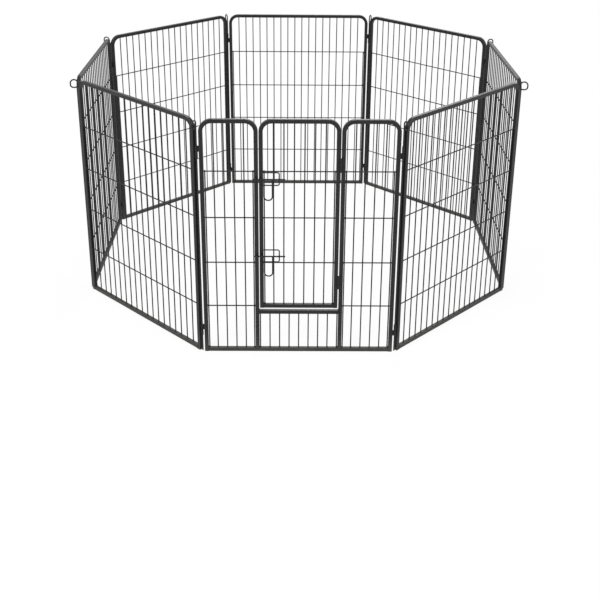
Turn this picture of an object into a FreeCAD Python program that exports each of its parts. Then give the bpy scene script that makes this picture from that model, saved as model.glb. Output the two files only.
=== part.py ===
"""Eight-panel folding pet playpen of welded square steel tube and wire, millimetres.

The pen stands on z = 0 with its centre on the Z axis. Panel 1 holds the door and faces -Y; panels 2 to 8
follow it anticlockwise seen from above. Each panel is drawn upright in its own frame, X along the panel,
-Y outwards, and then turned about the pen's centre onto its side. Loose pins join neighbouring panels.
"""
import FreeCAD
import Part
import Sketcher
import math
import os
from FreeCAD import Placement, Rotation, Vector

SIZES = {
    # panels and their tube
    "sideCount": 8,            # sides of the pen
    "panelWidth": 770,         # over the uprights
    "panelHeight": 1000,       # floor to the top of the rail
    "tubeSize": 16,            # square tube, outside
    "tubeWall": 1,
    "cornerRadius": 50,        # outside of a hoop's bend
    # welded wire
    "wireSize": 5,
    "layerGap": 0.05,          # between the upright and the cross wires
    "edgeWireGap": 1.5,        # upright tube to the edge wire beside it
    "plainWires": 18,          # upright wires in a plain panel
    "crossWires": 4,
    # pin joint between panels
    "pinReach": 9,             # upright's face to the pin's axis
    "pinSize": 6,
    "pinPlay": 0.05,           # radial play of the pin in its sleeves
    "pinLift": 1,              # pin's tip above the floor
    "sleeveWall": 2,
    "sleeveLength": 25,
    "sleeveWeb": 4,
    "sleeveGap": 1,            # between the sleeves of two neighbours
    "sleeveLow": 72,           # floor to the lowest sleeve
    "sleeveFromTop": 158,      # panel's top to the foot of the upper sleeves
    # finger loop on top of each pin
    "loopFromTop": 4,          # panel's top to the centre line of the loop's upper side
    "loopDrop": 34,            # between the centre lines of its upper and lower side
    "loopReach": 30,           # pin's axis to the centre line of its round end
    "loopBend": 14,
    "loopGap": 1.5,            # open end of the loop to the pin
    # door panel
    "doorway": 320,            # clear width between the jambs
    "sectionWires": 4,         # upright wires beside the doorway, each side
    "lowerWires": 7,           # upright wires under the sill
    "doorWires": 6,
    "doorCrossWires": 3,
    "latchGap": 3,             # door to the latch jamb
    "hingeGap": 4,             # door to the hinge jamb
    "doorFoot": 202,           # floor to the underside of the door
    "sillGap": 12,             # sill to the underside of the door
    # door hinges
    "hingeLow": 320,           # middle of the lower hinge
    "hingeFromTop": 181,       # panel's top to the middle of the upper hinge
    "knuckleLength": 18,
    "knuckleGap": 0.5,
    "knuckleSize": 11,
    "hingePinSize": 4.8,
    "hingePinPlay": 0.05,
    "knuckleClear": 0.45,      # knuckle to the nearer edge of the other tube
    "hingeLeaf": 2,
    "hingeLeafWidth": 12,
    "hingeHeadSize": 8,
    "hingeHeadHeight": 2,
    # slide bolts and their brackets
    "boltLow": 436,            # height of the lower bolt
    "boltFromTop": 238,        # panel's top to the upper bolt
    "boltSize": 6,
    "boltPlay": 0.1,           # radial play in the guides
    "keeperPlay": 0.6,         # radial play in the keeper on the jamb
    "boltClear": 0.2,          # bolt to the staple's wire behind it
    "boltTip": 4,              # bolt past the far side of the jamb
    "boltTail": 21,            # bolt past the staple
    "guideWall": 2,
    "guideLength": 10,
    "stapleSize": 5,
    "stapleHalf": 26,          # bolt axis to each long side of the staple
    "stapleReach": 65,         # door upright to the staple's closed end
    "stapleBend": 7,
    "stapleGrip": 12,          # staple's ends along the upright's face
    "endGuide": 6,             # length of the guide at the staple's closed end
    "handleSize": 5.5,
    "handleInset": 4,          # door upright to the near leg's centre line
    "handleWidth": 32,
    "handleDrop": 86,
    "handleBend": 15,
}

doc = FreeCAD.newDocument("Playpen")
sheet = doc.addObject("Spreadsheet::Sheet", "Sizes")
for row, (alias, number) in enumerate(SIZES.items(), start=1):
    sheet.set(f"A{row}", alias)
    sheet.set(f"B{row}", str(number))
    sheet.setAlias(f"B{row}", alias)
doc.recompute()

# ---------------------------------------------------------------- expressions shared by several pieces
HALF = "Sizes.panelWidth / 2"
MID = "Sizes.tubeSize / 2"
TOP = "(Sizes.panelHeight - Sizes.tubeSize)"              # underside of the top rail
TOP_MID = "(Sizes.panelHeight - Sizes.tubeSize / 2)"
INNER_WIDTH = "(Sizes.panelWidth - 2 * Sizes.tubeSize)"
BEND = "(Sizes.cornerRadius - Sizes.tubeSize / 2)"        # a hoop's centre line
JAMB = "Sizes.doorway / 2"
DOOR_LEFT = "(-Sizes.doorway / 2 + Sizes.latchGap)"
DOOR_RIGHT = "(Sizes.doorway / 2 - Sizes.hingeGap)"
DOOR_FLOOR = "(Sizes.doorFoot + Sizes.tubeSize)"          # top of the door's bottom rail
SILL = "(Sizes.doorFoot - Sizes.sillGap - Sizes.tubeSize)"  # underside of the sill rail
CROSS_PITCH = "(Sizes.panelHeight - 2 * Sizes.tubeSize) / (Sizes.crossWires + 1)"
TOP_CROSS = f"(Sizes.tubeSize + Sizes.crossWires * {CROSS_PITCH} + Sizes.wireSize / 2)"
WIRE_LAYER = "(Sizes.wireSize + Sizes.layerGap) / 2"      # each wire layer to the panel's middle plane
PIN_AXIS = "(Sizes.panelWidth / 2 + Sizes.pinReach)"
HINGE_X = "(Sizes.doorway / 2 - Sizes.hingeGap / 2)"
HINGE_PROUD = "sqrt((Sizes.knuckleSize / 2 + Sizes.knuckleClear) ^ 2 - (Sizes.hingeGap / 2) ^ 2)"
HINGE_Y = f"(-Sizes.tubeSize / 2 - {HINGE_PROUD})"        # in front of the tubes' front face
HINGES = ("Sizes.hingeLow", "(Sizes.panelHeight - Sizes.hingeFromTop)")
FRONT = "(-Sizes.tubeSize / 2)"
BOLT_PROUD = "(Sizes.stapleSize + Sizes.boltClear + Sizes.boltSize / 2)"
BOLT_Y = f"(-Sizes.tubeSize / 2 - {BOLT_PROUD})"
BOLTS = ("Sizes.boltLow", "(Sizes.panelHeight - Sizes.boltFromTop)")
GUIDE_SIZE = "(Sizes.boltSize + 2 * Sizes.boltPlay + 2 * Sizes.guideWall)"
SLEEVES = ("Sizes.sleeveLow", "(Sizes.panelHeight - Sizes.sleeveFromTop)")
LOOP_TOP = "(Sizes.panelHeight - Sizes.loopFromTop)"
DOOR_POST = "(-Sizes.doorway / 2 + Sizes.latchGap + Sizes.tubeSize)"  # inner face of the latch upright
STAPLE_END = f"({DOOR_POST} + Sizes.stapleReach)"


def value(expression):
    """The number that an expression on the sheet stands for."""
    return float(sheet.evalExpression(expression))


def bind(piece, **expressions):
    """Bind properties to expressions; a double underscore stands for a dot."""
    for path, expression in expressions.items():
        piece.setExpression(path.replace("__", "."), expression)
    return piece


def at(piece, x="0", y="0", z="0"):
    """Bind a piece's position."""
    return bind(piece, Placement__Base__x=x, Placement__Base__y=y, Placement__Base__z=z)


# ---------------------------------------------------------------- sketches and bent tube
def origin_plane(body, role):
    """The body's own origin plane of that role."""
    return next(plane for plane in body.Origin.OriginFeatures if plane.Role == role)


def new_sketch(body, name, role):
    """An empty sketch on one of the body's origin planes."""
    sketch = body.newObject("Sketcher::SketchObject", name)
    sketch.AttachmentSupport = (origin_plane(body, role), [""])
    sketch.MapMode = "FlatFace"
    return sketch


def dimension(sketch, kind, places, expression):
    """Add a dimensional constraint and bind it to an expression."""
    index = sketch.addConstraint(Sketcher.Constraint(kind, *places, value(expression)))
    sketch.renameConstraint(index, f"{kind}{index}")
    sketch.setExpression(f"Constraints.{kind}{index}", expression)


def centred_square(sketch, side, across, along):
    """A square of that side about the point (across, along)."""
    half = value(side) / 2
    middle = Vector(value(across), value(along), 0)
    corners = [middle + Vector(half * i, half * j, 0) for i, j in ((-1, -1), (1, -1), (1, 1), (-1, 1))]
    first = sketch.GeometryCount
    for start, end in zip(corners, corners[1:] + corners[:1]):
        sketch.addGeometry(Part.LineSegment(start, end))
    for step in range(4):
        sketch.addConstraint(Sketcher.Constraint("Coincident", first + step, 2, first + (step + 1) % 4, 1))
        sketch.addConstraint(Sketcher.Constraint("Vertical" if step % 2 else "Horizontal", first + step))
    dimension(sketch, "DistanceX", (first, 1, first, 2), side)
    dimension(sketch, "DistanceY", (first + 1, 1, first + 1, 2), side)
    dimension(sketch, "DistanceX", (-1, 1, first, 1), f"{across} - {side} / 2")
    dimension(sketch, "DistanceY", (-1, 1, first, 1), f"{along} - {side} / 2")


def centred_circle(sketch, diameter, across, along):
    """A circle of that diameter about the point (across, along)."""
    middle = Vector(value(across), value(along), 0)
    index = sketch.addGeometry(Part.Circle(middle, Vector(0, 0, 1), value(diameter) / 2))
    dimension(sketch, "Diameter", (index,), diameter)
    dimension(sketch, "DistanceX", (-1, 1, index, 3), across)
    dimension(sketch, "DistanceY", (-1, 1, index, 3), along)


def bent_path(sketch, upright, stops, start, end, bend):
    """Straight runs, in turn upright and level, joined by arcs of one radius.

    stops gives each run's fixed coordinate, start and end the free coordinate of the path's two ends.
    """
    fixed = [value(stop) for stop in stops]
    radius = value(bend)
    free = [value(start)] + fixed[1:] + [value(end)]
    before = [value(start)] + fixed[:-1]
    runs = []
    for index, level in enumerate(fixed):
        is_upright = upright == (index % 2 == 0)
        low, high = before[index], free[index + 1]
        way = math.copysign(radius, high - low)
        first = low if index == 0 else low + way
        last = high if index == len(fixed) - 1 else high - way
        ends = [Vector(level, c, 0) if is_upright else Vector(c, level, 0) for c in (first, last)]
        runs.append(sketch.addGeometry(Part.LineSegment(*ends)))
        sketch.addConstraint(Sketcher.Constraint("Vertical" if is_upright else "Horizontal", runs[-1]))
        kind = "DistanceX" if is_upright else "DistanceY"
        dimension(sketch, kind, (-1, 1, runs[-1], 1), stops[index])
    for here, there in zip(runs, runs[1:]):
        leave = sketch.Geometry[here]
        enter = sketch.Geometry[there]
        heading = (leave.EndPoint - leave.StartPoint).normalize()
        turn = (enter.EndPoint - enter.StartPoint).normalize()
        centre = leave.EndPoint + turn * radius
        left = heading.cross(turn).z > 0
        points = (leave.EndPoint, enter.StartPoint) if left else (enter.StartPoint, leave.EndPoint)
        angles = [math.atan2(point.y - centre.y, point.x - centre.x) for point in points]
        arc = sketch.addGeometry(Part.ArcOfCircle(Part.Circle(centre, Vector(0, 0, 1), radius), *angles))
        first, second = (1, 2) if left else (2, 1)
        sketch.addConstraint(Sketcher.Constraint("Tangent", here, 2, arc, first))
        sketch.addConstraint(Sketcher.Constraint("Tangent", arc, second, there, 1))
        dimension(sketch, "Radius", (arc,), bend)
    along = "DistanceY" if upright else "DistanceX"
    closing = along if len(stops) % 2 else {"DistanceY": "DistanceX", "DistanceX": "DistanceY"}[along]
    dimension(sketch, along, (-1, 1, runs[0], 1), start)
    dimension(sketch, closing, (-1, 1, runs[-1], 2), end)


def pipe(body, name, profile, spine):
    """Sweep a profile along a spine inside a body."""
    sweep = body.newObject("PartDesign::AdditivePipe", name)
    sweep.Profile = profile
    sweep.Spine = spine
    body.Tip = sweep
    return sweep


def tube_section(body, role, across, along, offset):
    """Profile of the square tube, hollow."""
    section = new_sketch(body, "Section", role)
    bind(section, AttachmentOffset__Base__z=offset)
    centred_square(section, "Sizes.tubeSize", across, along)
    centred_square(section, "(Sizes.tubeSize - 2 * Sizes.tubeWall)", across, along)
    return section


def hoop(label, left, right, left_foot, right_foot):
    """Upside-down U of bent square tube, given the outer faces of its legs."""
    body = doc.addObject("PartDesign::Body", label)
    left_mid, right_mid = f"({left} + {MID})", f"({right} - {MID})"
    section = tube_section(body, "XY_Plane", left_mid, "0", left_foot)
    spine = new_sketch(body, "Spine", "XZ_Plane")
    bent_path(spine, True, [left_mid, TOP_MID, right_mid], left_foot, right_foot, BEND)
    pipe(body, "Hoop", section, spine)
    return body


def rail(label, left, length, foot):
    """Straight level tube between two uprights."""
    body = doc.addObject("PartDesign::Body", label)
    section = tube_section(body, "YZ_Plane", "0", f"({foot} + {MID})", left)
    pad = body.newObject("PartDesign::Pad", "Length")
    pad.Profile = section
    bind(pad, Length=length)
    body.Tip = pad
    return body


# ---------------------------------------------------------------- wires
def group(label, pieces):
    """Several separate solids that make one sub-part."""
    compound = doc.addObject("Part::Compound", label)
    compound.Links = pieces
    return compound


def upright_wire(x, foot, top):
    """One upright wire, its ends on the rails."""
    wire = doc.addObject("Part::Cylinder", "UprightWire")
    bind(wire, Radius="Sizes.wireSize / 2", Height=f"{top} - {foot}")
    return at(wire, x, WIRE_LAYER, foot)


def cross_wire(left, length, height):
    """One level wire, its ends on the uprights."""
    wire = doc.addObject("Part::Cylinder", "CrossWire")
    bind(wire, Radius="Sizes.wireSize / 2", Height=length)
    wire.Placement = Placement(Vector(), Rotation(Vector(0, 1, 0), 90))
    return at(wire, left, f"-{WIRE_LAYER}", height)


def rounded_top(x, left, right):
    """Underside of a hoop over x, lower where the wire stands under a bend."""
    edge = "Sizes.cornerRadius - Sizes.wireSize / 2"
    into_left, into_right = f"{left} + {edge} - ({x})", f"({x}) - {right} + {edge}"
    depth = f"max(0; {into_left}; {into_right})"
    inside = "(Sizes.cornerRadius - Sizes.tubeSize)"
    return f"({TOP} - {inside} + sqrt({inside} ^ 2 - ({depth}) ^ 2))"


def wires_between(left, right, count, foot, top=None):
    """Upright wires spread evenly between two uprights, given the uprights' outer faces."""
    start = f"({left} + Sizes.tubeSize)"
    pitch = f"({right} - {left} - 2 * Sizes.tubeSize) / (Sizes.{count} + 1)"
    places = [f"({start} + {step} * {pitch})" for step in range(1, SIZES[count] + 1)]
    return [upright_wire(x, foot, top or rounded_top(x, left, right)) for x in places]


def edge_wires(left, right, foot, top=TOP_CROSS):
    """A wire close beside each upright, up to the top cross wire because the hoop bends away above it."""
    inset = "(Sizes.tubeSize + Sizes.edgeWireGap + Sizes.wireSize / 2)"
    return [upright_wire(x, foot, top) for x in (f"({left} + {inset})", f"({right} - {inset})")]


def cross_wires_between(left, right, count, first):
    """Level wires between two uprights, at the pen's common heights from the given one up."""
    length = f"{right} - {left} - 2 * Sizes.tubeSize"
    heights = [f"Sizes.tubeSize + {step} * {CROSS_PITCH}" for step in range(first, first + SIZES[count])]
    return [cross_wire(f"({left} + Sizes.tubeSize)", length, height) for height in heights]


# ---------------------------------------------------------------- eyes: sleeves, knuckles and bolt guides
def eye(name, size, bore, length, web):
    """A short tube on the Z axis from z = 0 with a flat web to its seat; web gives the box's corners."""
    ring = bind(doc.addObject("Part::Cylinder", name + "Ring"), Radius=f"{size} / 2", Height=length)
    plate = doc.addObject("Part::Box", name + "Web")
    (x_low, x_high), (y_low, y_high) = web
    bind(plate, Length=f"{x_high} - ({x_low})", Width=f"{y_high} - ({y_low})", Height=length)
    at(plate, x_low, y_low)
    whole = doc.addObject("Part::Fuse", name + "Whole")
    whole.Base = ring
    whole.Tool = plate
    hole = bind(doc.addObject("Part::Cylinder", name + "Bore"), Radius=f"{bore} / 2", Height=length)
    drilled = doc.addObject("Part::Cut", name)
    drilled.Base = whole
    drilled.Tool = hole
    return drilled


def pin_sleeve(side, height):
    """A sleeve welded beside an upright; side is 1 at the panel's +X edge and -1 at the other."""
    half_web = "Sizes.sleeveWeb / 2"
    reach = ("-Sizes.pinReach", "0") if side > 0 else ("0", "Sizes.pinReach")
    bore = "(Sizes.pinSize + 2 * Sizes.pinPlay)"
    size = "(Sizes.pinSize + 2 * Sizes.pinPlay + 2 * Sizes.sleeveWall)"
    sleeve = eye("Sleeve", size, bore, "Sizes.sleeveLength", (reach, (f"-{half_web}", half_web)))
    return at(sleeve, f"{side} * {PIN_AXIS}", "0", height)


def pin_sleeves(label):
    """A panel's four sleeves; those at the -X edge sit on top of the neighbour's."""
    step = "(Sizes.sleeveLength + Sizes.sleeveGap)"
    sleeves = [pin_sleeve(1, level) for level in SLEEVES]
    sleeves += [pin_sleeve(-1, f"{level} + {step}") for level in SLEEVES]
    return group(label, sleeves)


def knuckle(side, height):
    """A hinge knuckle with its leaf on the front of a tube; side is 1 on the jamb and -1 on the door."""
    near = "(Sizes.hingeGap / 2 - Sizes.hingeLeaf / 2)"
    far = "(Sizes.hingeGap / 2 + Sizes.hingeLeafWidth)"
    across = (near, far) if side > 0 else (f"-{far}", f"-{near}")
    depth = (f"{HINGE_PROUD} - Sizes.hingeLeaf", HINGE_PROUD)
    bore = "(Sizes.hingePinSize + 2 * Sizes.hingePinPlay)"
    piece = eye("Knuckle", "Sizes.knuckleSize", bore, "Sizes.knuckleLength", (across, depth))
    return at(piece, HINGE_X, HINGE_Y, height)


def knuckle_foot(middle, place):
    """Underside of a knuckle, place -1, 0 or 1 counted from the hinge's middle one."""
    step = "(Sizes.knuckleLength + Sizes.knuckleGap)"
    return f"({middle} + ({place}) * {step} - Sizes.knuckleLength / 2)"


def hinge_pin(middle):
    """Headed pin through the three knuckles of a hinge."""
    length = "(3 * Sizes.knuckleLength + 2 * Sizes.knuckleGap)"
    shank = bind(doc.addObject("Part::Cylinder", "Shank"), Radius="Sizes.hingePinSize / 2", Height=length)
    head = bind(doc.addObject("Part::Cylinder", "Head"), Radius="Sizes.hingeHeadSize / 2",
                Height="Sizes.hingeHeadHeight")
    at(head, z=length)
    pin = doc.addObject("Part::Fuse", "HingePin")
    pin.Base = shank
    pin.Tool = head
    return at(pin, HINGE_X, HINGE_Y, knuckle_foot(middle, -1))


def bolt_guide(name, left, play, height):
    """A guide eye on the front of an upright, its bore along X."""
    bore = f"(Sizes.boltSize + 2 * Sizes.{play})"
    web = ((f"-{GUIDE_SIZE} / 2", f"{GUIDE_SIZE} / 2"), ("0", BOLT_PROUD))
    guide = eye(name, GUIDE_SIZE, bore, "Sizes.guideLength", web)
    guide.Placement = Placement(Vector(), Rotation(Vector(0, 1, 0), 90))
    return at(guide, left, BOLT_Y, height)


# ---------------------------------------------------------------- latch: staple and slide bolt
def staple(height):
    """Bent wire bracket on the door's latch upright, with an eye for the bolt at its closed end."""
    body = doc.addObject("PartDesign::Body", "StapleWire")
    start = f"({DOOR_POST} - Sizes.stapleGrip)"
    upper, lower = f"({height} + Sizes.stapleHalf)", f"({height} - Sizes.stapleHalf)"
    closed = f"({STAPLE_END} - Sizes.stapleSize / 2)"
    section = new_sketch(body, "Section", "YZ_Plane")
    bind(section, AttachmentOffset__Base__z=start)
    depth = f"({FRONT} - Sizes.stapleSize / 2)"
    centred_circle(section, "Sizes.stapleSize", "0", upper)
    spine = new_sketch(body, "Spine", "XZ_Plane")
    bent_path(spine, False, [upper, closed, lower], start, start, "Sizes.stapleBend")
    pipe(body, "Staple", section, spine)
    at(body, y=depth)
    collar = bind(doc.addObject("Part::Cylinder", "Collar"), Radius=f"{GUIDE_SIZE} / 2",
                  Height="Sizes.endGuide")
    hole = bind(doc.addObject("Part::Cylinder", "CollarBore"),
                Radius="Sizes.boltSize / 2 + Sizes.boltPlay", Height="Sizes.endGuide")
    for piece in (collar, hole):
        piece.Placement = Placement(Vector(), Rotation(Vector(0, 1, 0), 90))
        at(piece, f"{closed} - Sizes.endGuide / 2", BOLT_Y, height)
    joined = doc.addObject("Part::Fuse", "StapleWhole")
    joined.Base = body
    joined.Tool = collar
    drilled = doc.addObject("Part::Cut", "StapleBracket")
    drilled.Base = joined
    drilled.Tool = hole
    return drilled


def slide_bolt(label, height):
    """Straight bolt with a hanging finger loop, one solid."""
    body = doc.addObject("PartDesign::Body", label)
    tip = "(-Sizes.doorway / 2 - Sizes.tubeSize - Sizes.boltTip)"
    section = new_sketch(body, "RodSection", "YZ_Plane")
    bind(section, AttachmentOffset__Base__z=tip)
    centred_circle(section, "Sizes.boltSize", "0", "0")
    rod = body.newObject("PartDesign::Pad", "Rod")
    rod.Profile = section
    bind(rod, Length=f"{STAPLE_END} + Sizes.boltTail - {tip}")
    near = f"({DOOR_POST} + Sizes.handleInset)"
    far = f"({near} + Sizes.handleWidth)"
    wire = new_sketch(body, "HandleSection", "XY_Plane")
    centred_circle(wire, "Sizes.handleSize", near, "0")
    spine = new_sketch(body, "HandleSpine", "XZ_Plane")
    bent_path(spine, True, [near, "-Sizes.handleDrop", far], "0", "0", "Sizes.handleBend")
    pipe(body, "Handle", wire, spine)
    return at(body, y=BOLT_Y, z=height)


# ---------------------------------------------------------------- panels on the sides of the pen
def place_on_side(piece, side):
    """Turn a piece drawn in a panel's own frame onto a side of the pen."""
    turn = 360 / value("Sizes.sideCount")
    apothem = value(PIN_AXIS) / math.tan(math.radians(turn / 2))
    onto_side = Placement(Vector(), Rotation(Vector(0, 0, 1), turn * side))
    out = Placement(Vector(0, -apothem, 0), Rotation())
    if piece.ExpressionEngine:
        offset = piece.Placement.Base
        out = Placement(Vector(offset.x, offset.y - apothem, offset.z), Rotation())
        for axis in "xyz":
            piece.setExpression(f"Placement.Base.{axis}", None)
    piece.Placement = onto_side * out
    return piece


def plain_panel(number):
    """A welded panel with no door."""
    name = f"panel_{number}"
    span = (f"(-{HALF})", f"({HALF})")
    uprights = wires_between(*span, "plainWires", "Sizes.tubeSize") + edge_wires(*span, "Sizes.tubeSize")
    return [
        hoop(f"{name}_frame", *span, "0", "0"),
        rail(f"{name}_bottom_rail", f"(-{HALF} + Sizes.tubeSize)", INNER_WIDTH, "0"),
        group(f"{name}_upright_wires", uprights),
        group(f"{name}_cross_wires", cross_wires_between(*span, "crossWires", 1)),
        pin_sleeves(f"{name}_pin_sleeves"),
    ]


def door_panel():
    """The panel that frames the doorway."""
    left, right = (f"(-{HALF})", f"(-{JAMB})"), (f"({JAMB})", f"({HALF})")
    rails = [
        rail("BottomRail", f"(-{HALF} + Sizes.tubeSize)", INNER_WIDTH, "0"),
        rail("SillRail", f"(-{JAMB})", "Sizes.doorway", SILL),
    ]
    uprights = []
    for span in (left, right):
        uprights += wires_between(*span, "sectionWires", "Sizes.tubeSize")
        uprights += edge_wires(*span, "Sizes.tubeSize")
    bay = (f"(-{JAMB} - Sizes.tubeSize)", f"({JAMB} + Sizes.tubeSize)")
    uprights += wires_between(*bay, "lowerWires", "Sizes.tubeSize", SILL)
    uprights += edge_wires(*bay, "Sizes.tubeSize", SILL)
    crosses = cross_wires_between(*left, "crossWires", 1) + cross_wires_between(*right, "crossWires", 1)
    jamb_knuckles = [knuckle(1, knuckle_foot(middle, place)) for middle in HINGES for place in (-1, 1)]
    near = f"(-{JAMB} - Sizes.tubeSize / 2 - Sizes.guideLength / 2)"
    keepers = [bolt_guide("Keeper", near, "keeperPlay", level) for level in BOLTS]
    return [
        hoop("left_section_frame", *left, "0", "Sizes.tubeSize"),
        hoop("right_section_frame", *right, "Sizes.tubeSize", "0"),
        group("door_panel_rails", rails),
        group("door_panel_upright_wires", uprights),
        group("door_panel_cross_wires", crosses),
        pin_sleeves("door_panel_pin_sleeves"),
        group("door_hinge_jamb_knuckles", jamb_knuckles),
        group("door_hinge_pins", [hinge_pin(middle) for middle in HINGES]),
        group("latch_keepers", keepers),
    ]


def door():
    """The door leaf with its hinge knuckles, latch brackets and bolts."""
    span = (DOOR_LEFT, DOOR_RIGHT)
    near = f"({DOOR_LEFT} + Sizes.tubeSize / 2 - Sizes.guideLength / 2)"
    brackets = [staple(level) for level in BOLTS]
    brackets += [bolt_guide("Guide", near, "boltPlay", level) for level in BOLTS]
    knuckles = [knuckle(-1, knuckle_foot(middle, 0)) for middle in HINGES]
    uprights = wires_between(*span, "doorWires", DOOR_FLOOR) + edge_wires(*span, DOOR_FLOOR)
    return [
        hoop("door_frame", *span, "Sizes.doorFoot", "Sizes.doorFoot"),
        rail("door_bottom_rail", f"({DOOR_LEFT} + Sizes.tubeSize)",
             f"{DOOR_RIGHT} - {DOOR_LEFT} - 2 * Sizes.tubeSize", "Sizes.doorFoot"),
        group("door_upright_wires", uprights),
        group("door_cross_wires", cross_wires_between(*span, "doorCrossWires", 2)),
        group("door_hinge_knuckles", knuckles),
        group("latch_staples", brackets),
        slide_bolt("lower_bolt", BOLTS[0]),
        slide_bolt("upper_bolt", BOLTS[1]),
    ]


def corner_pin(number):
    """A loose pin with a finger loop, drawn on the Z axis with the loop towards +X."""
    body = doc.addObject("PartDesign::Body", f"corner_pin_{number}")
    section = new_sketch(body, "Section", "XY_Plane")
    bind(section, AttachmentOffset__Base__z="Sizes.pinLift")
    centred_circle(section, "Sizes.pinSize", "0", "0")
    spine = new_sketch(body, "Spine", "XZ_Plane")
    bottom = f"({LOOP_TOP} - Sizes.loopDrop)"
    end = "(Sizes.pinSize / 2 + Sizes.loopGap)"
    stops = ["0", LOOP_TOP, "Sizes.loopReach", bottom]
    bent_path(spine, True, stops, "Sizes.pinLift", end, "Sizes.loopBend")
    pipe(body, "Rod", section, spine)
    return body


def place_on_corner(pin, corner):
    """Stand a pin at a corner of the pen, its loop pointing away from the centre."""
    turn = 360 / value("Sizes.sideCount")
    radius = value(PIN_AXIS) / math.sin(math.radians(turn / 2))
    heading = turn * (corner - 0.5) - 90
    pin.Placement = Placement(Vector(), Rotation(Vector(0, 0, 1), heading)) * Placement(
        Vector(radius, 0, 0), Rotation())
    return pin


sub_parts = door_panel() + door()
doc.recompute()
for piece in sub_parts:
    place_on_side(piece, 0)
for side in range(1, SIZES["sideCount"]):
    panel = plain_panel(side + 1)
    for piece in panel:
        place_on_side(piece, side)
    sub_parts += panel
for corner in range(SIZES["sideCount"]):
    sub_parts.append(place_on_corner(corner_pin(corner + 1), corner))
doc.recompute()

for thing in doc.Objects:
    if "Invalid" in thing.State or "Error" in thing.State:
        raise RuntimeError(f"{thing.Name} ({thing.Label}) failed: {thing.State}")
for piece in sub_parts:
    if piece.Shape.isNull() or not piece.Shape.isValid():
        raise RuntimeError(f"{piece.Label} has no valid shape")

os.makedirs("parts", exist_ok=True)
for piece in sub_parts:
    piece.Shape.exportStep(f"parts/{piece.Label}.step")
print(len(sub_parts), "sub-parts,", sum(len(piece.Shape.Solids) for piece in sub_parts), "solids")
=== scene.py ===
# %% [markdown]
# # A folding pet playpen
#
# The real pen is eight panels of thin square steel tube and wire, welded, then powder coated black. Loose
# pins join the panels at the corners, and the front panel has a small door with two slide bolts. The packed
# frame gives every piece its place. This lesson rebuilds the pieces with the detail that a fabricator leaves:
# rounded tube edges, weld beads, chamfered rims and a coat that is never quite flat.

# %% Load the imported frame
import bmesh
import bpy
import math
from mathutils import Matrix, Vector


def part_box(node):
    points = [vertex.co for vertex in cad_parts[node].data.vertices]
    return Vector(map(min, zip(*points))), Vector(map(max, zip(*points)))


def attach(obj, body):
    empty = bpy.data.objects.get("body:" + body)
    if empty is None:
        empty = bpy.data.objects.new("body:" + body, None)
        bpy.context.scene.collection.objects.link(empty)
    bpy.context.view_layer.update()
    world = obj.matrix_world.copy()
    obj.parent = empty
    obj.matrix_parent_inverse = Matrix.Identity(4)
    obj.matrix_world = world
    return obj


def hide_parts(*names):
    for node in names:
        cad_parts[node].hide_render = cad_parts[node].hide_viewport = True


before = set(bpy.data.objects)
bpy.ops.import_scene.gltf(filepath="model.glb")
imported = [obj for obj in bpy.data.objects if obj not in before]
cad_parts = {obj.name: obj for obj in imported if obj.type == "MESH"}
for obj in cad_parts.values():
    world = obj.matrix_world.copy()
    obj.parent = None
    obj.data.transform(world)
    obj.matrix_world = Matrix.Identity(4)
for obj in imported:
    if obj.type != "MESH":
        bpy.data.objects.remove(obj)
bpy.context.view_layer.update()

# %% [markdown]
# ## Measuring the frame
#
# Nothing here repeats a size that the frame already holds. Every panel is first made lying in its own frame,
# X along the panel and -Y outwards, and is then turned onto its side of the pen, so all measures are taken
# back into that frame as well. A CAD node can hold several solids, such as four sleeves: they are told apart
# by walking over the faces that share corners.

# %% Panel frames and the solids of a node
SIDES = 8
TURN = 2 * math.pi / SIDES


def solids(node, matrix=Matrix.Identity(4)):
    """(low, high) corners of each separate solid of a CAD node, seen from the frame of a matrix."""
    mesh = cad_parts[node].data
    back = matrix.inverted()
    keys = [tuple(round(c, 6) for c in vertex.co) for vertex in mesh.vertices]
    parent = {key: key for key in keys}

    def root(key):
        while parent[key] != key:
            parent[key] = parent[parent[key]]
            key = parent[key]
        return key

    for polygon in mesh.polygons:
        first = root(keys[polygon.vertices[0]])
        for index in polygon.vertices[1:]:
            parent[root(keys[index])] = first
    groups = {}
    for key, vertex in zip(keys, mesh.vertices):
        groups.setdefault(root(key), []).append(back @ vertex.co)
    boxes = []
    for points in groups.values():
        low = Vector([min(p[axis] for p in points) for axis in range(3)])
        high = Vector([max(p[axis] for p in points) for axis in range(3)])
        boxes.append((low, high))
    return sorted(boxes, key=lambda box: (round(box[0].z, 4), round(box[0].x, 4)))


def middle(box):
    """Centre of a box."""
    return (box[0] + box[1]) / 2


apothem = middle(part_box("panel_5_bottom_rail")).y


def panel_matrix(number):
    """Turns what is drawn in a panel's own frame onto that panel's side of the pen."""
    return Matrix.Rotation(TURN * (number - 1), 4, "Z") @ Matrix.Translation((0, -apothem, 0))


plain_frame = solids("panel_5_frame", panel_matrix(5))[0]
plain_rail = solids("panel_5_bottom_rail", panel_matrix(5))[0]
plain_uprights = solids("panel_5_upright_wires", panel_matrix(5))
plain_crosses = solids("panel_5_cross_wires", panel_matrix(5))
tube = plain_rail[1].z - plain_rail[0].z
wire = plain_uprights[0][1].x - plain_uprights[0][0].x
print(f"tube {tube * 1000:.1f} mm, wire {wire * 1000:.1f} mm, {len(plain_uprights)} upright wires a panel")
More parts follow.
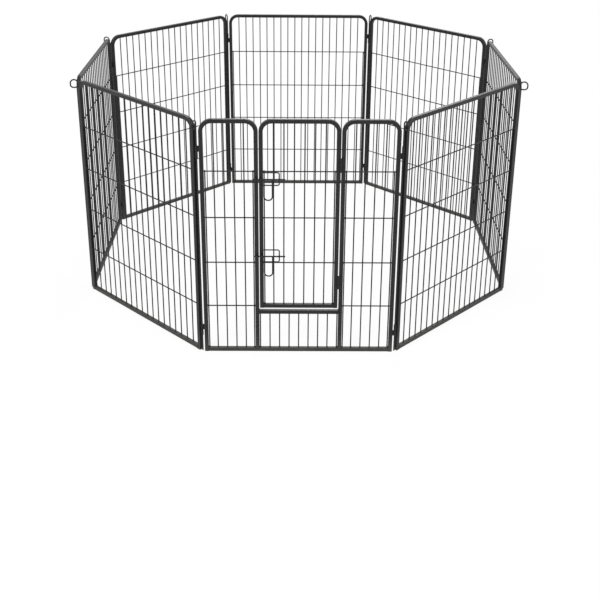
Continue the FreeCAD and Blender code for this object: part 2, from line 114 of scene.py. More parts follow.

# %% [markdown]
# ## The finishes
#
# Powder coat is dry paint, sprayed on and baked. It flows into an even skin with a fine orange peel, pulls
# thinner at sharp edges and gathers dust near the floor. The rounded edges are painted a lighter colour, a
# painted highlight that also stands for the thinner coat there. Four finishes use the same effect, so it is a
# shader node group with named inputs: the material only places it and holds the shader itself. The pattern
# reads Object coordinates, in metres, so its grain is as large on a thin wire as on a tube.

# %% Helpers for node trees
def add_node(tree, kind, inputs=None, **settings):
    """A new node with its settings and inputs; an input is a value or a socket to link from."""
    node = tree.nodes.new(kind)
    for name, setting in settings.items():
        setattr(node, name, setting)
    for name, source in (inputs or {}).items():
        if isinstance(source, bpy.types.NodeSocket):
            tree.links.new(source, node.inputs[name])
        else:
            node.inputs[name].default_value = source
    return node


def math_node(tree, operation, first, second=0.0):
    """The output of a Math node."""
    return add_node(tree, "ShaderNodeMath", {0: first, 1: second}, operation=operation).outputs[0]


def new_tree(kind, name, inputs, outputs):
    """A node group with named sockets; each input has a type and a starting value."""
    tree = bpy.data.node_groups.new(name, kind)
    for label, socket_type, start in inputs:
        socket = tree.interface.new_socket(label, in_out="INPUT", socket_type=socket_type)
        if start is not None:
            socket.default_value = start
    for label, socket_type in outputs:
        tree.interface.new_socket(label, in_out="OUTPUT", socket_type=socket_type)
    return tree


# %% The powder coat group
EDGE = "bend_edge"       # vertex attribute: 1 along a tube's rounded edges, where the coat paints a lighter highlight
DUST_HEIGHT = 0.09       # metres above the floor where dust has faded out
DUST_COLOUR = (0.2, 0.19, 0.17, 1)
CLOUD_SCALE = 14.0       # broad thick and thin patches of the coat
EDGE_BREAK_SCALE = 160.0      # breaks up the painted highlight line along an edge


def powder_coat_group():
    """Colour, roughness and height of a baked coat, with random thinner patches, a painted highlight along
    rounded edges and floor dust.
    """
    tree = new_tree(
        "ShaderNodeTree", "Powder coat",
        [("Coat", "NodeSocketColor", (0.02, 0.02, 0.021, 1)),
         ("Thin and highlight", "NodeSocketColor", (0.05, 0.05, 0.052, 1)),
         ("Grain", "NodeSocketFloat", 700.0),
         ("Gloss", "NodeSocketFloat", 0.4),
         ("Edge", "NodeSocketFloat", 0.0),
         ("Dust", "NodeSocketFloat", 0.3)],
        [("Color", "NodeSocketColor"), ("Roughness", "NodeSocketFloat"), ("Height", "NodeSocketFloat")])
    given = add_node(tree, "NodeGroupInput").outputs
    place = add_node(tree, "ShaderNodeTexCoord").outputs["Object"]
    peel = add_node(tree, "ShaderNodeTexNoise",
                    {"Vector": place, "Scale": given["Grain"], "Detail": 3.0, "Roughness": 0.55})
    cloud = add_node(tree, "ShaderNodeTexNoise", {"Vector": place, "Scale": CLOUD_SCALE, "Detail": 2.0})
    edge_break_noise = add_node(tree, "ShaderNodeTexNoise", {"Vector": place, "Scale": EDGE_BREAK_SCALE, "Detail": 5.0})
    height = add_node(tree, "ShaderNodeSeparateXYZ", {"Vector": place}).outputs["Z"]
    shade = add_node(tree, "ShaderNodeMapRange",
                     {"Value": cloud.outputs["Fac"], "From Min": 0.3, "From Max": 0.7, "To Min": 0.0,
                      "To Max": 0.25})
    broken = add_node(tree, "ShaderNodeMapRange",
                      {"Value": edge_break_noise.outputs["Fac"], "From Min": 0.42, "From Max": 0.62})
    # Rounded edges get the lighter colour: a painted highlight, also standing for the thinner coat there.
    # Random broad patches use the same colour.
    thin_and_highlight = math_node(tree, "MULTIPLY", given["Edge"], broken.outputs[0])
    thin_and_highlight = math_node(tree, "MAXIMUM", thin_and_highlight, shade.outputs[0])
    coat = add_node(tree, "ShaderNodeMix", {"Factor": thin_and_highlight, "A": given["Coat"], "B": given["Thin and highlight"]},
                    data_type="RGBA")
    low = add_node(tree, "ShaderNodeMapRange",
                   {"Value": height, "From Min": 0.0, "From Max": DUST_HEIGHT, "To Min": 1.0, "To Max": 0.0})
    settled = math_node(tree, "MULTIPLY", low.outputs[0], cloud.outputs["Fac"])
    settled = math_node(tree, "MULTIPLY", settled, given["Dust"])
    dusty = add_node(tree, "ShaderNodeMix",
                     {"Factor": settled, "A": coat.outputs["Result"], "B": DUST_COLOUR},
                     data_type="RGBA")
    rough = add_node(tree, "ShaderNodeMapRange",
                     {"Value": peel.outputs["Fac"], "From Min": 0.3, "From Max": 0.7, "To Min": -0.05,
                      "To Max": 0.07})
    rough = math_node(tree, "ADD", given["Gloss"], rough.outputs[0])
    rough = math_node(tree, "ADD", rough, settled)
    add_node(tree, "NodeGroupOutput",
             {"Color": dusty.outputs["Result"], "Roughness": rough, "Height": peel.outputs["Fac"]})
    return tree


powder_coat = powder_coat_group()
print(f"{powder_coat.name}: {len(powder_coat.nodes)} nodes")

# %% Materials for tube, wire, fittings and welds
PEEL_STRENGTH = 0.35
SHEEN_LEVEL = 0.3        # specular level of the baked coat


def coated(name, coat, thin_and_highlight, gloss, grain, peel_depth, dust):
    """A powder coated steel finish."""
    material = bpy.data.materials.new(name)
    material.use_nodes = True
    tree = material.node_tree
    shader = tree.nodes["Principled BSDF"]
    edge = add_node(tree, "ShaderNodeAttribute", attribute_name=EDGE)
    group = add_node(tree, "ShaderNodeGroup", node_tree=powder_coat)
    values = {"Coat": (*coat, 1), "Thin and highlight": (*thin_and_highlight, 1), "Gloss": gloss, "Grain": grain, "Dust": dust}
    for label, number in values.items():
        group.inputs[label].default_value = number
    # The edge attribute places the lighter colour along rounded edges as a painted highlight.
    tree.links.new(edge.outputs["Fac"], group.inputs["Edge"])
    bump = add_node(tree, "ShaderNodeBump",
                    {"Height": group.outputs["Height"], "Strength": PEEL_STRENGTH, "Distance": peel_depth})
    tree.links.new(group.outputs["Color"], shader.inputs["Base Color"])
    tree.links.new(group.outputs["Roughness"], shader.inputs["Roughness"])
    tree.links.new(bump.outputs["Normal"], shader.inputs["Normal"])
    shader.inputs["Metallic"].default_value = 0.0
    shader.inputs["Specular IOR Level"].default_value = SHEEN_LEVEL
    return material


# Each coat's second, lighter colour is for random thinner patches and for the painted highlight on rounded
# edges.
tube_coat = coated("black_tube_coat", (0.007, 0.007, 0.008), (0.022, 0.022, 0.024), 0.38, 650.0, 0.00014, 0.3)
wire_coat = coated("black_wire_coat", (0.004, 0.004, 0.005), (0.012, 0.012, 0.013), 0.36, 900.0, 0.00006, 0.2)
rod_coat = coated("black_rod_coat", (0.005, 0.005, 0.006), (0.02, 0.02, 0.021), 0.32, 800.0, 0.00006, 0.2)
weld_coat = coated("black_weld_coat", (0.006, 0.006, 0.007), (0.02, 0.02, 0.021), 0.45, 1100.0, 0.0002, 0.35)
print("finishes:", [m.name for m in (tube_coat, wire_coat, rod_coat, weld_coat)])

# %% [markdown]
# ## One tree for everything that is bent from stock
#
# A fabricator starts a hoop, a pin or a staple in the same way: take a straight length, bend it round a die.
# The Geometry Nodes tree below does that. Its input is a bare line of corners; Fillet Curve is the die, and
# Curve to Mesh pushes a section along it. The section is a square whose own corners are filleted too. With an
# edge radius of half the size the square becomes a round rod, so tube and rod come from one tree. Points on
# the section's rounded corners get an attribute, which the coat reads to paint a lighter line along the
# edges:
# a painted highlight that also stands for the thinner coat there.

# %% The bent stock tree
def bent_stock_tree():
    """Sweep a rounded square along a line whose corners are bent."""
    tree = new_tree(
        "GeometryNodeTree", "Bent stock",
        [("Geometry", "NodeSocketGeometry", None), ("Bend Radius", "NodeSocketFloat", 0.04),
         ("Bend Steps", "NodeSocketInt", 12), ("Size", "NodeSocketFloat", 0.016),
         ("Edge Radius", "NodeSocketFloat", 0.002), ("Edge Steps", "NodeSocketInt", 4),
         ("Material", "NodeSocketMaterial", None)],
        [("Geometry", "NodeSocketGeometry")])
    given = add_node(tree, "NodeGroupInput").outputs
    line = add_node(tree, "GeometryNodeMeshToCurve", {"Mesh": given["Geometry"]})
    bent = add_node(tree, "GeometryNodeFilletCurve",
                    {"Curve": line.outputs[0], "Count": given["Bend Steps"], "Radius": given["Bend Radius"]},
                    mode="POLY")
    square = add_node(tree, "GeometryNodeCurvePrimitiveQuadrilateral",
                      {"Width": given["Size"], "Height": given["Size"]})
    section = add_node(tree, "GeometryNodeFilletCurve",
                       {"Curve": square.outputs[0], "Count": given["Edge Steps"],
                        "Radius": given["Edge Radius"]}, mode="POLY")
    spot = add_node(tree, "ShaderNodeSeparateXYZ",
                    {"Vector": add_node(tree, "GeometryNodeInputPosition").outputs[0]})
    across = math_node(tree, "ABSOLUTE", spot.outputs["X"])
    along = math_node(tree, "ABSOLUTE", spot.outputs["Y"])
    nearer = math_node(tree, "MINIMUM", across, along)
    flat = math_node(tree, "SUBTRACT", math_node(tree, "MULTIPLY", given["Size"], 0.5), given["Edge Radius"])
    into = math_node(tree, "SUBTRACT", nearer, flat)
    edge = math_node(tree, "DIVIDE", into, math_node(tree, "MULTIPLY", given["Edge Radius"], 0.5))
    marked = add_node(tree, "GeometryNodeStoreNamedAttribute",
                      {"Geometry": section.outputs[0], "Name": EDGE, "Value": edge},
                      data_type="FLOAT", domain="POINT")
    swept = add_node(tree, "GeometryNodeCurveToMesh",
                     {"Curve": bent.outputs[0], "Profile Curve": marked.outputs[0], "Fill Caps": True})
    smooth = add_node(tree, "GeometryNodeSetShadeSmooth", {"Geometry": swept.outputs[0]})
    whole = add_node(tree, "GeometryNodeRealizeInstances", {"Geometry": smooth.outputs[0]})
    painted = add_node(tree, "GeometryNodeSetMaterial",
                       {"Geometry": whole.outputs[0], "Material": given["Material"]})
    add_node(tree, "NodeGroupOutput", {"Geometry": painted.outputs[0]})
    return tree


bent_stock = bent_stock_tree()
print(f"{bent_stock.name}: {len(bent_stock.nodes)} nodes")

# %% Running a tree and keeping plain mesh
def line_mesh(points, closed=False):
    """A mesh of edges only, through points in order."""
    mesh = bpy.data.meshes.new("line")
    count = len(points)
    edges = [(i, (i + 1) % count) for i in range(count if closed else count - 1)]
    mesh.from_pydata([tuple(p) for p in points], edges, [])
    return mesh


def grow(tree, start, even_normals=False, **values):
    """Run a Geometry Nodes tree on a mesh and return the result as plain mesh."""
    helper = bpy.data.objects.new("helper", start)
    bpy.context.scene.collection.objects.link(helper)
    modifier = helper.modifiers.new("grow", "NODES")
    modifier.node_group = tree
    sockets = {s.name: s.identifier for s in tree.interface.items_tree if s.in_out == "INPUT"}
    for label, number in values.items():
        modifier[sockets[label.replace("_", " ")]] = number
    if even_normals:
        helper.modifiers.new("even", "WEIGHTED_NORMAL").weight = 90
    graph = bpy.context.evaluated_depsgraph_get()
    mesh = bpy.data.meshes.new_from_object(helper.evaluated_get(graph), depsgraph=graph)
    bpy.data.objects.remove(helper)
    bpy.data.meshes.remove(start)
    return mesh


def joined(meshes):
    """One mesh from several."""
    merged = bmesh.new()
    materials = []
    for mesh in meshes:
        slots = {}
        for index, material in enumerate(mesh.materials):
            if material not in materials:
                materials.append(material)
            slots[index] = materials.index(material)
        before = len(merged.faces)
        merged.from_mesh(mesh)
        merged.faces.ensure_lookup_table()
        for face in merged.faces[before:]:
            face.material_index = slots.get(face.material_index, 0)
    whole = bpy.data.meshes.new("whole")
    merged.to_mesh(whole)
    merged.free()
    for material in materials:
        whole.materials.append(material)
    for mesh in meshes:
        bpy.data.meshes.remove(mesh)
    return whole


# %% [markdown]
# ## Tube, rod and turned parts
#
# Square tube of this size has a rounded edge of about two millimetres and is cut square at the foot. Rods
# are cropped and tumbled, so their ends get a small bevel. Sleeves, knuckles and bolt guides are turned
# shapes: a short outline spun about an axis, with a chamfered rim that catches the light.

# %% Tube and rod
TUBE_EDGE = 0.002        # rounded edge of the square tube
HOOP_BEND = 0.042        # centre line of a hoop's corner
BEND_STEPS = 14
ROUND = 0.4995           # edge radius that turns a square section into a round one, as a share of its size
ROD_CHAMFER = 0.0007
ROD_BEND = 0.01          # centre line of a rod's bend, where it isn't given


def tube_along(points, bend=HOOP_BEND):
    """Square tube bent along points."""
    return grow(bent_stock, line_mesh(points), even_normals=True, Bend_Radius=bend, Bend_Steps=BEND_STEPS,
                Size=tube, Edge_Radius=TUBE_EDGE, Edge_Steps=4, Material=tube_coat)


def soften_ends(mesh, amount):
    """Bevel the rim of each flat end cap."""
    work = bmesh.new()
    work.from_mesh(mesh)
    rims = {edge for face in work.faces if len(face.verts) > 4 for edge in face.edges}
    bmesh.ops.bevel(work, geom=list(rims), offset=amount, segments=2, affect="EDGES", profile=0.6)
    work.to_mesh(mesh)
    work.free()
    return mesh


def rod_along(points, size, bend=ROD_BEND, material=None, chamfer=ROD_CHAMFER):
    """Round rod bent along points, with softened ends."""
    rod = grow(bent_stock, line_mesh(points), Bend_Radius=bend, Bend_Steps=10, Size=size,
               Edge_Radius=size * ROUND, Edge_Steps=5, Material=material or rod_coat)
    return soften_ends(rod, chamfer)


def hoop_along(box, left_foot, right_foot):
    """An upside-down U of tube that fills a box, its legs ending at two heights."""
    low, high = box
    half = tube / 2
    corners = [(low.x + half, 0, left_foot), (low.x + half, 0, high.z - half),
               (high.x - half, 0, high.z - half), (high.x - half, 0, right_foot)]
    return tube_along(corners)


def rail_along(box):
    """A straight level tube that fills a box."""
    low, high = box
    height = (low.z + high.z) / 2
    return tube_along([(low.x, 0, height), (high.x, 0, height)])


# %% Turned parts and plates
TURNED_SIDES = 28
TURNED_CREASE = math.radians(35)   # edges sharper than this stay crisp


def turned(outline, material, axis="Z", centre=(0, 0, 0)):
    """Spin an outline of (radius, length) points into a closed ring or a solid."""
    work = bmesh.new()
    rings = []
    for radius, length in outline:
        if radius == 0:
            rings.append([work.verts.new((0, 0, length))])
            continue
        rings.append([work.verts.new((radius * math.cos(a), radius * math.sin(a), length))
                      for a in (2 * math.pi * i / TURNED_SIDES for i in range(TURNED_SIDES))])
    is_ring = outline[0][0] > 0
    pairs = list(zip(rings, rings[1:])) + ([(rings[-1], rings[0])] if is_ring else [])
    for here, there in pairs:
        for i in range(TURNED_SIDES):
            j = (i + 1) % TURNED_SIDES
            corners = [here[i % len(here)], here[j % len(here)], there[j % len(there)], there[i % len(there)]]
            work.faces.new(list(dict.fromkeys(corners)))
    bmesh.ops.recalc_face_normals(work, faces=work.faces)
    turn = Matrix.Rotation(math.pi / 2, 4, "Y") if axis == "X" else Matrix.Identity(4)
    bmesh.ops.transform(work, matrix=Matrix.Translation(centre) @ turn, verts=work.verts)
    mesh = bpy.data.meshes.new("turned")
    work.to_mesh(mesh)
    work.free()
    mesh.materials.append(material)
    mesh.shade_smooth()
    mesh.set_sharp_from_angle(angle=TURNED_CREASE)
    return mesh


def eye_ring(outer, inner, length, chamfer, material, axis="Z", centre=(0, 0, 0)):
    """A short sleeve with chamfered rims."""
    outline = [(inner, chamfer), (inner, length - chamfer), (inner + chamfer, length),
               (outer - chamfer, length), (outer, length - chamfer), (outer, chamfer),
               (outer - chamfer, 0), (inner + chamfer, 0)]
    return turned(outline, material, axis, centre)


def plate(low, high, bevel, material):
    """A flat bar with softened edges."""
    work = bmesh.new()
    bmesh.ops.create_cube(work, size=1.0)
    size = Vector(high) - Vector(low)
    bmesh.ops.scale(work, vec=size, verts=work.verts)
    bmesh.ops.translate(work, vec=(Vector(high) + Vector(low)) / 2, verts=work.verts)
    bmesh.ops.bevel(work, geom=list(work.edges), offset=bevel, segments=2, affect="EDGES", profile=0.5)
    mesh = bpy.data.meshes.new("plate")
    work.to_mesh(mesh)
    work.free()
    mesh.materials.append(material)
    return mesh


# %% [markdown]
# ## Wires and welds
#
# The mesh is resistance welded: rows of straight wire, squeezed together and fused where they cross. A row is
# a pattern, so Geometry Nodes lay it out: Mesh Line gives the points and Instance on Points puts a wire on
# each. The welds are instances too. A collar of metal stands round every wire end, a small nugget sits in
# each crossing, and the rails are joined by a rippled bead, one drop after another.

# %% The wire row tree
WIRE_SIDES = 14
WIRE_CREASE = math.radians(40)


def wire_row_tree():
    """Evenly spaced straight wires."""
    tree = new_tree(
        "GeometryNodeTree", "Wire row",
        [("Geometry", "NodeSocketGeometry", None), ("Count", "NodeSocketInt", 18),
         ("First", "NodeSocketVector", (0, 0, 0)), ("Step", "NodeSocketVector", (0.04, 0, 0)),
         ("Length", "NodeSocketFloat", 1.0), ("Radius", "NodeSocketFloat", 0.0025),
         ("Turn", "NodeSocketRotation", (0, 0, 0)), ("Material", "NodeSocketMaterial", None)],
        [("Geometry", "NodeSocketGeometry")])
    given = add_node(tree, "NodeGroupInput").outputs
    places = add_node(tree, "GeometryNodeMeshLine",
                      {"Count": given["Count"], "Start Location": given["First"], "Offset": given["Step"]},
                      mode="OFFSET")
    rod = add_node(tree, "GeometryNodeMeshCylinder",
                   {"Vertices": WIRE_SIDES, "Radius": given["Radius"], "Depth": given["Length"]})
    rows = add_node(tree, "GeometryNodeInstanceOnPoints",
                    {"Points": places.outputs[0], "Instance": rod.outputs["Mesh"], "Rotation": given["Turn"]})
    whole = add_node(tree, "GeometryNodeRealizeInstances", {"Geometry": rows.outputs[0]})
    painted = add_node(tree, "GeometryNodeSetMaterial",
                       {"Geometry": whole.outputs[0], "Material": given["Material"]})
    add_node(tree, "NodeGroupOutput", {"Geometry": painted.outputs[0]})
    return tree


wire_row = wire_row_tree()


def wires(boxes, upright):
    """Wires in the places of a node's solids, one row for each length."""
    rows = {}
    for box in boxes:
        rows.setdefault(tuple(round(v, 4) for v in (box[0].z, box[1].z) if upright), []).append(box)
    return joined([wire_row_in(row, upright) for row in rows.values()])


def wire_row_in(boxes, upright):
    """One row of equal wires."""
    boxes = sorted(boxes, key=lambda box: (box[0].x, box[0].z))
    first, last = middle(boxes[0]), middle(boxes[-1])
    step = (last - first) / max(len(boxes) - 1, 1)
    size = boxes[0][1] - boxes[0][0]
    turn = (0, 0, 0) if upright else (0, math.pi / 2, 0)
    length = size.z if upright else size.x
    mesh = grow(wire_row, line_mesh([(0, 0, 0)]), Count=len(boxes), First=first, Step=step, Length=length,
                Radius=wire / 2, Turn=turn, Material=wire_coat)
    mesh.shade_smooth()
    mesh.set_sharp_from_angle(angle=WIRE_CREASE)
    return mesh


# %% The weld trees
def weld_tree(name, drop):
    """Drops of weld on points: drop makes the drop's mesh, 'way' gives each its direction."""
    tree = new_tree(
        "GeometryNodeTree", name,
        [("Geometry", "NodeSocketGeometry", None), ("Size", "NodeSocketVector", (1, 1, 1)),
         ("Unevenness", "NodeSocketFloat", 0.2), ("Seed", "NodeSocketInt", 1),
         ("Material", "NodeSocketMaterial", None)],
        [("Geometry", "NodeSocketGeometry")])
    given = add_node(tree, "NodeGroupInput").outputs
    way = add_node(tree, "GeometryNodeInputNamedAttribute", {"Name": "way"}, data_type="FLOAT_VECTOR")
    turn = add_node(tree, "FunctionNodeAlignRotationToVector", {"Vector": way.outputs[0]}, axis="Z")
    uneven = add_node(tree, "FunctionNodeRandomValue",
                      {2: math_node(tree, "SUBTRACT", 1.0, given["Unevenness"]),
                       3: math_node(tree, "ADD", 1.0, given["Unevenness"]), "Seed": given["Seed"]},
                      data_type="FLOAT")
    scale = add_node(tree, "ShaderNodeVectorMath",
                     {0: given["Size"], "Scale": uneven.outputs[1]}, operation="SCALE")
    drops = add_node(tree, "GeometryNodeInstanceOnPoints",
                     {"Points": given["Geometry"], "Instance": drop(tree), "Rotation": turn.outputs[0],
                      "Scale": scale.outputs[0]})
    whole = add_node(tree, "GeometryNodeRealizeInstances", {"Geometry": drops.outputs[0]})
    smooth = add_node(tree, "GeometryNodeSetShadeSmooth", {"Geometry": whole.outputs[0]})
    painted = add_node(tree, "GeometryNodeSetMaterial",
                       {"Geometry": smooth.outputs[0], "Material": given["Material"]})
    add_node(tree, "NodeGroupOutput", {"Geometry": painted.outputs[0]})
    return tree


def collar_drop(tree):
    """A low cone, one unit wide and high."""
    return add_node(tree, "GeometryNodeMeshCone",
                    {"Vertices": 12, "Side Segments": 2, "Radius Top": 0.52, "Radius Bottom": 1.0,
                     "Depth": 1.0}).outputs["Mesh"]


def round_drop(tree):
    """A ball of unit radius."""
    return add_node(tree, "GeometryNodeMeshIcoSphere", {"Radius": 1.0, "Subdivisions": 2}).outputs["Mesh"]


collars = weld_tree("Weld collars", collar_drop)
drops = weld_tree("Weld drops", round_drop)
print(f"{collars.name} and {drops.name}: {len(drops.nodes)} nodes each")


def weld(tree, spots, size, unevenness, seed):
    """Grow welds on (place, direction) spots."""
    mesh = bpy.data.meshes.new("spots")
    mesh.from_pydata([tuple(place) for place, way in spots], [], [])
    ways = mesh.attributes.new("way", "FLOAT_VECTOR", "POINT")
    for index, (place, way) in enumerate(spots):
        ways.data[index].vector = way
    return grow(tree, mesh, Size=size, Unevenness=unevenness, Seed=seed, Material=weld_coat)


# %% Where the welds go
COLLAR_WIDTH = 1.75      # collar's foot, in wire radii
COLLAR_HEIGHT = 0.0018
NUGGET = 0.95            # weld at a crossing, in wire radii
FREE_END = 0.09          # a wire that stops this much lower than the tallest ends in the open
BEAD_RADIUS = 0.0013
BEAD_PITCH = 0.0013
UP, DOWN = Vector((0, 0, 1)), Vector((0, 0, -1))
RIGHT, LEFT = Vector((1, 0, 0)), Vector((-1, 0, 0))


def collar_spots(boxes, upright):
    """Both ends of each wire, pointing back along it, but not the free tops of the short edge wires."""
    spots = []
    tallest = max(high.z for low, high in boxes)
    for low, high in boxes:
        centre = (low + high) / 2
        if upright:
            spots.append((Vector((centre.x, centre.y, low.z)), UP))
            if tallest - high.z < FREE_END:
                spots.append((Vector((centre.x, centre.y, high.z)), DOWN))
        else:
            spots.append((Vector((low.x, centre.y, centre.z)), RIGHT))
            spots.append((Vector((high.x, centre.y, centre.z)), LEFT))
    return spots


def crossing_spots(uprights, crosses):
    """Every place where an upright wire passes a cross wire."""
    spots = []
    for up_low, up_high in uprights:
        for low, high in crosses:
            x, z = (up_low.x + up_high.x) / 2, (low.z + high.z) / 2
            if low.x < x < high.x and up_low.z < z < up_high.z:
                spots.append((Vector((x, 0, z)), UP))
    return spots


def bead_spots(points):
    """Drops one after another along a line of corners."""
    spots = []
    for start, end in zip(points, points[1:]):
        start, end = Vector(start), Vector(end)
        count = max(int((end - start).length / BEAD_PITCH), 1)
        spots += [(start.lerp(end, step / count), end - start) for step in range(count + 1)]
    return spots


def seam(x, low, high):
    """The bead round a rail's end, left open underneath, where the rail meets the side of an upright."""
    front, back = -tube / 2, tube / 2
    return bead_spots([(x, front, low + BEAD_RADIUS), (x, front, high), (x, back, high),
                       (x, back, low + BEAD_RADIUS)])


def grid_welds(uprights, crosses, seed):
    """Collars and nuggets of a wire grid."""
    around = (wire / 2 * COLLAR_WIDTH, wire / 2 * COLLAR_WIDTH, COLLAR_HEIGHT)
    spots = collar_spots(uprights, True) + collar_spots(crosses, False)
    return [weld(collars, spots, around, 0.12, seed),
            weld(drops, crossing_spots(uprights, crosses), (wire / 2 * NUGGET,) * 3, 0.15, seed + 1)]


def seam_weld(spots, seed):
    """A rippled bead: round drops squashed along the seam."""
    return weld(drops, spots, (BEAD_RADIUS, BEAD_RADIUS, BEAD_RADIUS * 0.75), 0.12, seed)


# %% [markdown]
# ## Setting a piece in its place
#
# A finished mesh is copied, turned onto its side of the pen inside the mesh, and left on an object at the
# origin. Then it is tied to the frame: it rides on its body's empty, and the CAD nodes it stands for are
# hidden.

# %% Setting pieces
def settle(name, mesh, matrix, body, slot, *nodes):
    """Make an object of a mesh and tie it to the frame."""
    mesh = mesh.copy()
    mesh.name = name
    mesh.transform(matrix)
    piece = bpy.data.objects.new(name, mesh)
    bpy.context.scene.collection.objects.link(piece)
    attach(piece, body)
    if nodes:
        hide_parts(*nodes)
    return piece


# %% [markdown]
# ## Sleeves for the corner pins
#
# Each upright carries two short sleeves on flat webs. Ring and web are one weldment, with a bead down each
# side of the web where it meets the tube. The sleeves of the door panel give the pattern for all panels.

# %% Sleeves
RIM = 0.0006             # chamfer of a turned rim
pin_box = solids("corner_pin_1", Matrix.Rotation(-TURN / 2 - math.pi / 2, 4, "Z"))[0]
pin_size = pin_box[1].y - pin_box[0].y
BORE_PLAY = 0.00006      # a close running fit
WEB_HALF = 0.002         # half the web's thickness


def sleeve(box):
    """One pin sleeve with its web and beads, filling a solid's box."""
    low, high = box
    outer = (high.y - low.y) / 2
    side = 1 if middle(box).x > 0 else -1
    seat = low.x if side > 0 else high.x
    axis = high.x - outer if side > 0 else low.x + outer
    length = high.z - low.z
    inner = pin_size / 2 + BORE_PLAY
    ring = eye_ring(outer, inner, length, RIM, rod_coat, centre=(axis, 0, low.z))
    near = axis - side * inner * 1.25
    web = plate((min(seat, near), -WEB_HALF, low.z + RIM), (max(seat, near), WEB_HALF, high.z - RIM), 0.0003,
                rod_coat)
    beads = []
    for depth in (-WEB_HALF, WEB_HALF):
        beads += bead_spots([(seat, depth, low.z + 0.002), (seat, depth, high.z - 0.002)])
    return [ring, web, seam_weld(beads, 11)]


sleeve_boxes = solids("door_panel_pin_sleeves", panel_matrix(1))
sleeves = joined([mesh for box in sleeve_boxes for mesh in sleeve(box)])
for number in range(1, SIDES + 1):
    body = "door_panel" if number == 1 else f"panel_{number}"
    settle(f"{body}_sleeves", sleeves, panel_matrix(number), body, "sleeves", f"{body}_pin_sleeves")
print("sleeves:", len(sleeve_boxes), "a panel,", len(sleeves.polygons), "faces")

# %% [markdown]
# ## The seven plain panels
#
# All seven are the same weldment, so each mesh is made once and set down seven times. The hoop, the bottom
# rail, the two rows of wire and the welds stay separate pieces, as they are on the bench.

# %% Plain panels
hoop = hoop_along(plain_frame, plain_frame[0].z, plain_frame[0].z)
rail = rail_along(plain_rail)
uprights = wires(plain_uprights, upright=True)
crosses = wires(plain_crosses, upright=False)
rail_seams = seam(plain_rail[0].x, plain_rail[0].z, plain_rail[1].z)
rail_seams += seam(plain_rail[1].x, plain_rail[0].z, plain_rail[1].z)
welds = joined(grid_welds(plain_uprights, plain_crosses, 3) + [seam_weld(rail_seams, 5)])
for number in range(2, SIDES + 1):
    body = f"panel_{number}"
    matrix = panel_matrix(number)
    settle(f"{body}_hoop", hoop, matrix, body, "frame_tube", f"{body}_frame")
    settle(f"{body}_rail", rail, matrix, body, "frame_tube", f"{body}_bottom_rail")
    settle(f"{body}_uprights", uprights, matrix, body, "wire", f"{body}_upright_wires")
    settle(f"{body}_crosses", crosses, matrix, body, "wire", f"{body}_cross_wires")
    settle(f"{body}_welds", welds, matrix, body, "wire")
print("plain panel:", sum(len(m.polygons) for m in (hoop, rail, uprights, crosses, welds)), "faces")

# %% [markdown]
# ## The door panel
#
# Two narrow hoops stand beside the doorway. Their inner legs are the jambs: they end on the bottom rail, and
# a sill rail joins them under the door. The wires fall into five groups, read from the frame by their place.

# %% Door panel tube
front = panel_matrix(1)
left_box = solids("left_section_frame", front)[0]
right_box = solids("right_section_frame", front)[0]
rail_boxes = solids("door_panel_rails", front)
bottom_box, sill_box = rail_boxes
settle("left_section_hoop", hoop_along(left_box, 0, bottom_box[1].z), front, "door_panel", "frame_tube",
       "left_section_frame")
settle("right_section_hoop", hoop_along(right_box, bottom_box[1].z, 0), front, "door_panel", "frame_tube",
       "right_section_frame")
settle("door_panel_rail_pair", joined([rail_along(box) for box in rail_boxes]), front, "door_panel",
       "frame_tube", "door_panel_rails")

# %% Door panel wires and welds
panel_uprights = solids("door_panel_upright_wires", front)
panel_crosses = solids("door_panel_cross_wires", front)


def between(boxes, left, right):
    """The boxes whose middle lies between two x places."""
    return sorted((b for b in boxes if left < middle(b).x < right), key=lambda b: (middle(b).x, middle(b).z))


left_uprights = between(panel_uprights, left_box[0].x, left_box[1].x)
right_uprights = between(panel_uprights, right_box[0].x, right_box[1].x)
lower_uprights = between(panel_uprights, sill_box[0].x, sill_box[1].x)
left_crosses = between(panel_crosses, left_box[0].x, left_box[1].x)
right_crosses = between(panel_crosses, right_box[0].x, right_box[1].x)
settle("door_panel_uprights",
       joined([wires(boxes, True) for boxes in (left_uprights, right_uprights, lower_uprights)]),
       front, "door_panel", "wire", "door_panel_upright_wires")
settle("door_panel_crosses", joined([wires(boxes, False) for boxes in (left_crosses, right_crosses)]),
       front, "door_panel", "wire", "door_panel_cross_wires")
panel_seams = []
for box in rail_boxes:
    panel_seams += seam(box[0].x, box[0].z, box[1].z) + seam(box[1].x, box[0].z, box[1].z)
for jamb in (left_box[1].x, right_box[0].x):
    foot = bottom_box[1].z
    inner = jamb + math.copysign(tube, jamb)
    for depth in (-tube / 2, tube / 2):
        panel_seams += bead_spots([(jamb, depth, foot), (inner, depth, foot)])
    panel_seams += bead_spots([(inner, -tube / 2, foot), (inner, tube / 2, foot)])
panel_welds = grid_welds(left_uprights, left_crosses, 21) + grid_welds(right_uprights, right_crosses, 23)
panel_welds += [weld(collars, collar_spots(lower_uprights, True),
                     (wire / 2 * COLLAR_WIDTH, wire / 2 * COLLAR_WIDTH, COLLAR_HEIGHT), 0.12, 25),
                seam_weld(panel_seams, 27)]
settle("door_panel_welds", joined(panel_welds), front, "door_panel", "wire")
print(f"door panel: {len(panel_uprights)} upright and {len(panel_crosses)} cross wires")

# %% [markdown]
# ## The door leaf
#
# The door is a small hoop with its own bottom rail and mesh. It hangs 3 mm from the latch jamb and 4 mm from
# the hinge jamb, just enough to swing clear.

